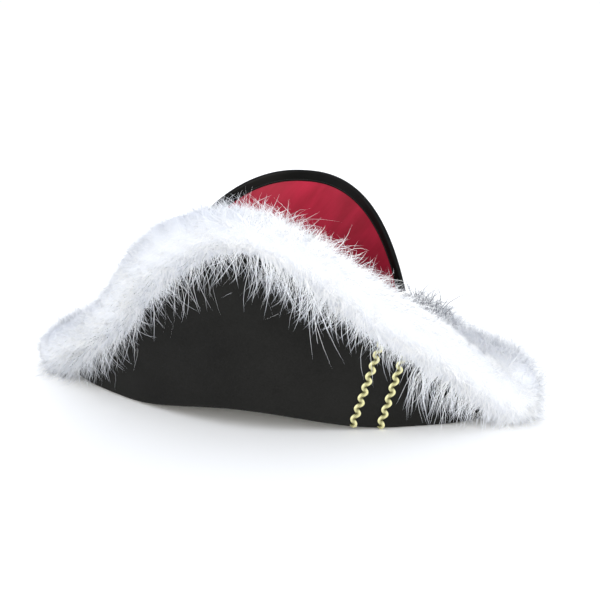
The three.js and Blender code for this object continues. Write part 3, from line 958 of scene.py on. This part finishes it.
class BICORNE_OT_marabou(bpy.types.Operator):
    """Make the marabou: a lumpy heart of dense down with many thousands of fine curved barbs on it"""

    bl_idname = "bicorne.marabou"
    bl_label = "Marabou trim"

    strands_per_piece = {4: 36000, 5: 26000, 7: 17000}
    # Lowest height of the down, and the corners of its room
    lowest = 0.8
    nearest_corner = np.array((-305.0, -163.0, -60.0))
    farthest_corner = np.array((305.0, 120.0, 242.5))
    # Length of a tuft along a row, radius at which it is as wide, and how far barbs fan out past a row's ends
    tuft_size = 9.0
    tuft_radius = 30
    cap = 26.0
    tuft_table = (512, 64, 6)
    # Steps around the heart, its steps' length, and its tone, set below white as painted shade deep in the
    # down
    heart_sides = 40
    heart_step = 3
    heart_painted_shade = 0.55

    # Layers of barbs, each with its share of all barbs, points on a barb, where barbs start and how far
    # their tips reach from the edge in millimetres, and how much they stray, curl, droop and gather in tufts.
    # The barbs of the long layer are thinned, and hang free below
    layers = (
        {"share": 0.5, "points": 4, "start": (21, 26), "tip": (28, 34), "long": False,
         "stray": 0.6, "curl": 0.7, "droop": 0.2, "gather": 0.2, "width": 1.0},
        {"share": 0.27, "points": 5, "start": (21, 27), "tip": (31, 40), "long": False,
         "stray": 0.34, "curl": 0.9, "droop": 0.3, "gather": 0.65, "width": 0.85},
        {"share": 0.23, "points": 7, "start": (21, 27), "tip": (34, 53), "long": True,
         "stray": 0.3, "curl": 1.2, "droop": 0.4, "gather": 0.88, "width": 1.3},
    )

    def fullness(self, x, ray, near):
        """How full the down is: most on one shoulder of the long row and at the rear row's tip at +X."""
        tip = rise(x, 175, 235) ** 1.5
        other_tip = rise(x, -200, -250)
        shoulder = hump(x, -66, 38) + 0.42 * hump(x, -102, 22)
        upward = limit(ray[:, 2] + 0.35)
        if near > 0:
            on_top, all_round = 0.3 * shoulder - 0.1 * hump(x, 85, 50) - 0.12 * tip, 0.04 * tip
        else:
            on_top, all_round = 0.62 * hump(x, 160, 36) + 0.4 * tip, 0.1 * tip
        return 1 + all_round + on_top * upward - 0.08 * other_tip * (1 - upward)

    def leanness_below(self, x, ray):
        """What the dense down keeps of its depth on its underside, where only single barbs hang."""
        places = (-250, -230, -200, -150, -60, -15, 25, 50, 80, 120, 155, 210, 235, 250)
        losses = (0.1, 0.34, 0.42, 0.34, 0.38, 0.5, 0.6, 0.5, 0.42, 0.3, 0.34, 0.38, 0.22, 0.05)
        return 1 - np.interp(x, places, losses) * limit(0.35 - 1.5 * ray[:, 2])

    def reach_below(self, x):
        """How far the longest barbs hang over the front wall."""
        places = (-250, -190, -60, 0, 30, 95, 112, 122, 135, 146, 168, 182, 210, 250)
        reaches = (43, 44, 42, 42, 50, 51, 43, 41, 45, 38, 40, 60, 52, 45)
        return np.interp(x, places, reaches)

    def how_many_below(self, x):
        """Share of the long barbs that hang over the front wall, most of them towards the two tips."""
        places = (-250, -190, -120, -60, 0, 30, 110, 140, 165, 185, 230, 250)
        shares = (0.4, 0.42, 0.2, 0.15, 0.14, 0.22, 0.24, 0.16, 0.2, 0.3, 0.3, 0.2)
        return np.interp(x, places, shares)

    def heart(self, down):
        """The dense inner down, as one closed lumpy skin."""
        radius = down.core_radius * MM
        tubes = []
        for row in fur_rows():
            count = int(row.length / self.heart_step)

            def shape(u, v, row=row):
                reach = v * (row.length + 2 * radius) - radius
                where = np.clip(reach, 0, row.length)
                beyond = reach - where
                point, along, out, up = row.frame(where)
                shrink = np.sqrt(limit(1 - (beyond / radius) ** 2))
                ring = 2 * np.pi * u
                ray = between(out, up, ring)
                lump = 1 + 0.07 * np.sin(reach / 7.1 + 2.3 * np.sin(ring)) * np.cos(3 * ring + reach / 11.3)
                full = self.fullness(point[:, 0], ray, row.near) * self.leanness_below(point[:, 0], ray)
                # Where the hat is seen from behind, the heart lies deeper under longer barbs
                deep = 0.16 * limit(-1.5 * (ray * out).sum(axis=1)) if row.near > 0 else 0.2
                spread = (radius * shrink * lump * full * (1 - deep))[:, None]
                place = point + along * beyond[:, None] + ray * spread
                place[:, 2] = np.maximum(place[:, 2], self.lowest)
                return place

            tubes.append(shaped_grid("marabou_heart", self.heart_sides, count, shape))
            close_seams(tubes[-1])
        return join(tubes)

    def bounded(self, rng, spread, size):
        """Normal random numbers, none of them past twice their spread."""
        return rng.normal(0, spread, size).clip(-2 * spread, 2 * spread)

    def tufts(self, spread, ring, rng):
        """Leans and middles of the tufts that barbs stand in, each by where its root falls."""
        size, turn = self.tuft_size, self.tuft_size / self.tuft_radius
        tuft_a = np.floor(spread / size + rng.normal(0, 0.16, len(spread))).astype(int)
        tuft_b = np.floor(ring / turn + rng.normal(0, 0.16, len(ring))).astype(int)
        table = self.bounded(rng, 1, self.tuft_table)
        tuft = table[tuft_a % self.tuft_table[0], tuft_b % self.tuft_table[1]]
        return tuft, (tuft_a + 0.5 + 0.25 * tuft[:, 4]) * size, (tuft_b + 0.5 + 0.25 * tuft[:, 5]) * turn

    def combing(self, x, upward, below, near):
        """How far worn down is combed along the hat in drifts, and how far it bows where it hangs."""
        to_right = np.interp(x, (-250, -110, -60, 60, 95, 150, 200, 250),
                             (0.35, 0.3, 0, 0, 0.75, 0.75, 0.3, 0))
        hanging = np.interp(x, (-250, -100, -40, 20, 120, 155, 250), (-0.1, 0, 0.1, 0.6, 0.3, -0.6, -0.7))
        bowed = np.interp(x, (-250, -180, 120, 160, 250), (0, 0.3, -0.2, 1.0, 0.9))
        return near * (to_right * limit(upward * 2) + hanging * below), near * bowed * below

    def fit(self, root, line, rng):
        """Shortens barbs that would reach past the trim's own room, and lays low ones on the table."""
        root = root[:, None]
        reach = line - root
        room = np.where(reach > 0, self.farthest_corner - root, self.nearest_corner - root)
        fits = np.divide(room, reach, out=np.ones_like(reach), where=np.abs(reach) > 0.01)
        line = root + reach * fits.min(axis=(1, 2)).clip(0.2, 1)[:, None, None]
        line[..., 2] = np.maximum(line[..., 2], self.lowest + 2 * rng.random(len(line))[:, None])
        return line

    def grow(self, row, count, layer, rng):
        """One layer of barbs on a row: their middle lines, shading directions, tones and fineness."""
        spread = rng.random(count) * (row.length + 2 * self.cap) - self.cap
        where = np.clip(spread, 0, row.length)
        turned = np.radians(90) * (spread - where) / self.cap
        ring = rng.random(count) * 2 * np.pi
        tuft, middle_a, middle_b = self.tufts(spread, ring, rng)
        point, along, out, up = row.frame(where)
        ray, around = between(out, up, ring), between(up, -out, ring)
        # Past a row's ends the barbs fan out to point along it
        ray, along = between(ray, along, turned), between(along, -ray, turned)
        x = point[:, 0]
        near = row.near
        full = self.fullness(x, ray, near)
        dense = full * self.leanness_below(x, ray)
        outer = (ray * out).sum(axis=1)
        behind = limit(-1.5 * outer) if near > 0 else np.ones(count)
        start = rng.uniform(*layer["start"], count) * dense * (1 - 0.18 * behind)
        # Long barbs hang over the front wall and stand before the flap, and the rest of the outline is short
        below = limit(-ray[:, 2] * 1.6) * limit(outer * 2 + 1.2)
        above = limit(ray[:, 2] * 1.6) * rise(x, -40, -10) * rise(x, 190, 160)
        low, high = layer["tip"]
        tip = low + (high - low) * rng.random(count) ** 1.6
        if layer["long"]:
            tip = tip * (1 + (self.reach_below(x) / high - 1) * below)
            dense = np.sqrt(full)
        tip = 30 + (tip - 30) * limit(0.3 + 0.45 * behind + below + above)
        # A few plumes stand up from the rear row beside the flap, painted dark grey as painted shade
        painted_shade_plumes = np.zeros(count, bool)
        if near < 0 and not layer["long"]:
            on_crest = limit(ray[:, 2] * 3 - 1.5) * hump(outer, 0, 0.38)
            painted_shade_plumes = rng.random(count) < 0.75 * hump(x, 148, 19) * on_crest
        length = np.maximum(tip * dense * (1 + (0.07 + 0.08 * below) * tuft[:, 3]) - start, 3)
        length = length + painted_shade_plumes * rng.uniform(5, 11, count)
        combed, bowing = self.combing(x, ray[:, 2], below, near)
        # Beside the braids the hanging barbs bow in step
        loose = 1 - 0.5 * below * rise(x, 140, 160)
        stray = layer["stray"] * loose
        ahead = combed + 0.34 * tuft[:, 0] * loose + rng.normal(0, 1, count) * stray
        aside = 0.3 * tuft[:, 1] + rng.normal(0, 1, count) * stray
        heading = ray + along * ahead[:, None] + around * aside[:, None]
        heading /= np.linalg.norm(heading, axis=1, keepdims=True)
        curl = layer["curl"] * loose * (1 + painted_shade_plumes)
        ahead = curl * (0.5 * tuft[:, 2] + self.bounded(rng, 0.5, count)) + bowing
        aside = curl * self.bounded(rng, 0.6, count)
        bend = along * ahead[:, None] + around * aside[:, None]
        bend[:, 2] -= layer["droop"] * (1 + below)
        ahead = curl * self.bounded(rng, 0.35, count)
        aside = curl * self.bounded(rng, 0.35, count)
        hook = along * ahead[:, None] + around * aside[:, None]
        t = np.linspace(0, 1, layer["points"])[None, :, None]
        root = point + ray * start[:, None]
        to_middle = along * (middle_a - spread)[:, None] + around * ((middle_b - ring) * start)[:, None]
        path = heading[:, None] * t + bend[:, None] * t**2 * 0.5 + hook[:, None] * t**4 * 0.6
        line = root[:, None] + to_middle[:, None] * (layer["gather"] * t**1.3) + length[:, None, None] * path
        line = self.fit(root, line, rng)
        # Painted shade: the rear rows and the top of the long row at -X are given a cooler, darker tone, on
        # top of each plume's own tone at random
        painted_shade = 0.12 if near < 0 else 0.35 * limit(ray[:, 2] * 1.5 - 0.3) * rise(x, 30, -30)
        tone = np.clip(0.86 + 0.1 * tuft[:, 3] + rng.normal(0, 0.05, count) - painted_shade, 0.35, 1)
        # Painted shade: the plumes beside the flap take a dark grey tone
        tone = np.where(painted_shade_plumes, rng.uniform(0, 0.15, count), tone)
        # Down is so fine that it shades as one soft surface, which bulges to the front of the row
        bulge = 1.1 + 0.8 * below if near > 0 else np.full(count, 0.4)
        soft = ray + (bulge * limit(outer + 0.7))[:, None] * out
        # Barbs on the body are finer than free ones, and hanging ones are painted darker to their tips as
        # painted shade
        fine = 0.6 + 0.4 * limit(below + 0.6 * above + 0.5 * behind) + 1.1 * painted_shade_plumes
        tone = limit(tone[:, None] - 0.62 * below[:, None] * t[..., 0] ** 1.5)
        kept = slice(None)
        if layer["long"]:
            kept = rng.random(count) < 0.08 + 0.35 * behind + self.how_many_below(x) * below + 0.25 * above
        return tuple(part[kept] for part in (line, soft, tone, fine))

    def ribbons(self, name, line, soft, tone, fine, width, rng):
        """Tapered flat ribbons along middle lines, in one mesh, shaded as parts of one soft surface."""
        count, points = line.shape[:2]
        along = np.gradient(line, axis=1)
        facing = soft + rng.normal(0, 0.25, (count, 3))
        side = np.cross(along, facing[:, None])
        side /= np.maximum(np.linalg.norm(side, axis=2, keepdims=True), 1e-9)
        share = np.linspace(0, 1, points)[None, :-1, None]
        half = width * MM / 2 * fine[:, None, None] * (1 - 0.6 * share)
        left, right = line[:, :-1] - side[:, :-1] * half, line[:, :-1] + side[:, :-1] * half
        edges = np.stack([left, right], axis=2).reshape(count, -1, 3)
        corners = np.concatenate([edges, line[:, -1:]], axis=1)
        corners[..., 2] = np.maximum(corners[..., 2], self.lowest / 2)
        per = corners.shape[1]
        base = (np.arange(count) * per)[:, None]
        quads = [np.stack([base + 2 * k, base + 2 * k + 1, base + 2 * k + 3, base + 2 * k + 2], axis=-1)
                 for k in range(points - 2)]
        tips = np.stack([base + per - 3, base + per - 2, base + per - 1], axis=-1)
        piece = mesh_from_arrays(name, to_frame(corners.reshape(-1, 3)),
                                 [np.concatenate(quads).reshape(-1, 4), tips.reshape(-1, 3)])
        piece.data.polygons.foreach_set("use_smooth", np.ones(len(piece.data.polygons), bool))
        soft = soft / np.linalg.norm(soft, axis=1, keepdims=True)
        piece.data.normals_split_custom_set_from_vertices(np.repeat(soft, per, axis=0))
        tone_and_painted_shade = piece.data.attributes.new("tone_and_painted_shade", "FLOAT", "POINT")
        tone = np.concatenate([np.repeat(tone[:, :-1], 2, axis=1), tone[:, -1:]], axis=1)
        tone_and_painted_shade.data.foreach_set("value", tone.astype(np.float32).ravel())
        return piece

    def execute(self, context):
        down = context.scene.bicorne_down
        material = make_down(down)
        heart = self.heart(down)
        # The heart's tone is painted shade, darker than the white barbs
        tone_and_painted_shade = heart.data.attributes.new("tone_and_painted_shade", "FLOAT", "POINT")
        tone_and_painted_shade.data.foreach_set("value", np.full(len(heart.data.vertices), self.heart_painted_shade, np.float32))
        finish_piece(heart, material, ["marabou_trim"], smooth_angle=ROUND_SMOOTH)
        rng = np.random.default_rng(down.seed)
        rows = fur_rows()
        whole = sum(row.length for row in rows)
        number = 0
        for layer in self.layers:
            grown = [self.grow(row, int(down.strands * layer["share"] * row.length / whole), layer, rng)
                     for row in rows]
            line, soft, tone, fine = (np.concatenate([part[k] for part in grown]) for k in range(4))
            most = self.strands_per_piece[layer["points"]]
            pieces = math.ceil(len(line) / most)
            for part in np.array_split(np.arange(len(line)), pieces):
                number += 1
                piece = self.ribbons(f"marabou_down_{number}", line[part], soft[part], tone[part], fine[part],
                                     down.strand_width * layer["width"], rng)
                finish_piece(piece, material, ["marabou_trim"], smooth_angle=None)
        return {"FINISHED"}


# Studio


class BICORNE_OT_studio(bpy.types.Operator):
    """Make the pale floor, the soft studio light and the camera"""

    bl_idname = "bicorne.studio"
    bl_label = "Studio"

    sensor_width = 36.0
    farthest_view = 60.0
    floor_size = 40.0
    sun_power = 2.45
    sun_heading = (-0.36, 0.92, -0.14)
    # Name, place, size and power of each soft light
    soft_lights = (
        ("right_light", (2.0, -1.5, 0.7), 1.6, 12.0),
        ("left_light", (-1.7, -1.2, 1.5), 1.6, 6.0),
        ("back_light", (-0.6, 2.4, 1.2), 1.8, 26.0),
    )

    def soft_light(self, name, place, size, power, target):
        bpy.ops.object.light_add(type="AREA", location=place)
        light = bpy.context.object
        light.name = name
        light.data.shape = "DISK"
        light.data.size = size
        light.data.energy = power
        light.rotation_euler = (target - Vector(place)).to_track_quat("-Z", "Y").to_euler()

    def execute(self, context):
        studio = context.scene.bicorne_studio
        scene = context.scene
        target = Vector(studio.target)
        back = Vector((
            math.sin(studio.azimuth) * math.cos(studio.elevation),
            -math.cos(studio.azimuth) * math.cos(studio.elevation),
            math.sin(studio.elevation),
        ))
        deselect()
        bpy.ops.object.camera_add(location=target + back * studio.distance,
                                  rotation=(-back).to_track_quat("-Z", "Y").to_euler())
        camera = bpy.context.object
        camera.name = "photo_camera"
        camera.data.lens = studio.lens
        camera.data.sensor_width = self.sensor_width
        camera.data.clip_end = self.farthest_view
        scene.camera = camera

        bpy.ops.mesh.primitive_plane_add(size=self.floor_size, location=(0.0, 0.0, 0.0))
        floor = bpy.context.object
        floor.name = "studio_floor"
        floor.data.materials.append(make_floor(studio))

        # A broad low light by the camera whitens what faces it and leaves the tops to the cooler room light
        bpy.ops.object.light_add(type="SUN", location=(1.0, -2.6, 0.6))
        sun = bpy.context.object
        sun.name = "key_light"
        sun.data.energy = self.sun_power
        sun.data.angle = math.radians(35)
        sun.data.color = linear("#fffdf6")[:3]
        sun.rotation_euler = Vector(self.sun_heading).to_track_quat("-Z", "Y").to_euler()
        for name, place, size, power in self.soft_lights:
            self.soft_light(name, place, size, power, target)

        world = bpy.data.worlds.new("white_studio")
        world.use_nodes = True
        background = world.node_tree.nodes["Background"]
        # The ceiling is a little dimmer and cooler than the walls, which cools the tops of the white down
        sky = add_node(world.node_tree, "TexCoord").outputs["Generated"]
        height = add_node(world.node_tree, "SeparateXYZ", links={"Vector": sky})
        wall_to_ceiling = add_node(
            world.node_tree, "ValToRGB", links={"Fac": height.outputs["Z"]},
            stops=((0.0, linear("#fffffd")), (1.0, linear("#dfe6f6"))))
        world.node_tree.links.new(wall_to_ceiling.outputs["Color"], background.inputs["Color"])
        background.inputs["Strength"].default_value = studio.ambient
        scene.world = world
        scene.view_settings.view_transform = "Standard"
        return {"FINISHED"}


OPERATORS = (
    BICORNE_OT_brim,
    BICORNE_OT_crown,
    BICORNE_OT_facing,
    BICORNE_OT_binding,
    BICORNE_OT_braids,
    BICORNE_OT_marabou,
    BICORNE_OT_studio,
)


class BICORNE_PT_panel(bpy.types.Panel):
    """Sizes, colours and the makers of the hat's pieces"""

    bl_label = "Bicorne hat"
    bl_idname = "BICORNE_PT_panel"
    bl_space_type = "VIEW_3D"
    bl_region_type = "UI"
    bl_category = "Bicorne"

    def draw(self, context):
        scene = context.scene
        for group in (scene.bicorne_felt, scene.bicorne_satin, scene.bicorne_braid, scene.bicorne_down,
                      scene.bicorne_studio):
            box = self.layout.box()
            for name in group.__annotations__:
                box.prop(group, name)
        for operator in OPERATORS:
            self.layout.operator(operator.bl_idname)


GROUPS = {
    "bicorne_felt": FeltProperties,
    "bicorne_satin": SatinProperties,
    "bicorne_braid": BraidProperties,
    "bicorne_down": MarabouProperties,
    "bicorne_studio": StudioProperties,
}


def register():
    for group in GROUPS.values():
        bpy.utils.register_class(group)
    for name, group in GROUPS.items():
        setattr(bpy.types.Scene, name, bpy.props.PointerProperty(type=group))
    for operator in OPERATORS:
        bpy.utils.register_class(operator)
    bpy.utils.register_class(BICORNE_PT_panel)


def unregister():
    bpy.utils.unregister_class(BICORNE_PT_panel)
    for operator in reversed(OPERATORS):
        bpy.utils.unregister_class(operator)
    for name, group in GROUPS.items():
        delattr(bpy.types.Scene, name)
        bpy.utils.unregister_class(group)


def main():
    register()
    bpy.ops.bicorne.studio()
    bpy.ops.bicorne.brim()
    bpy.ops.bicorne.crown()
    bpy.ops.bicorne.facing()
    bpy.ops.bicorne.binding()
    bpy.ops.bicorne.braids()
    bpy.ops.bicorne.marabou()


if __name__ == "__main__":
    main()
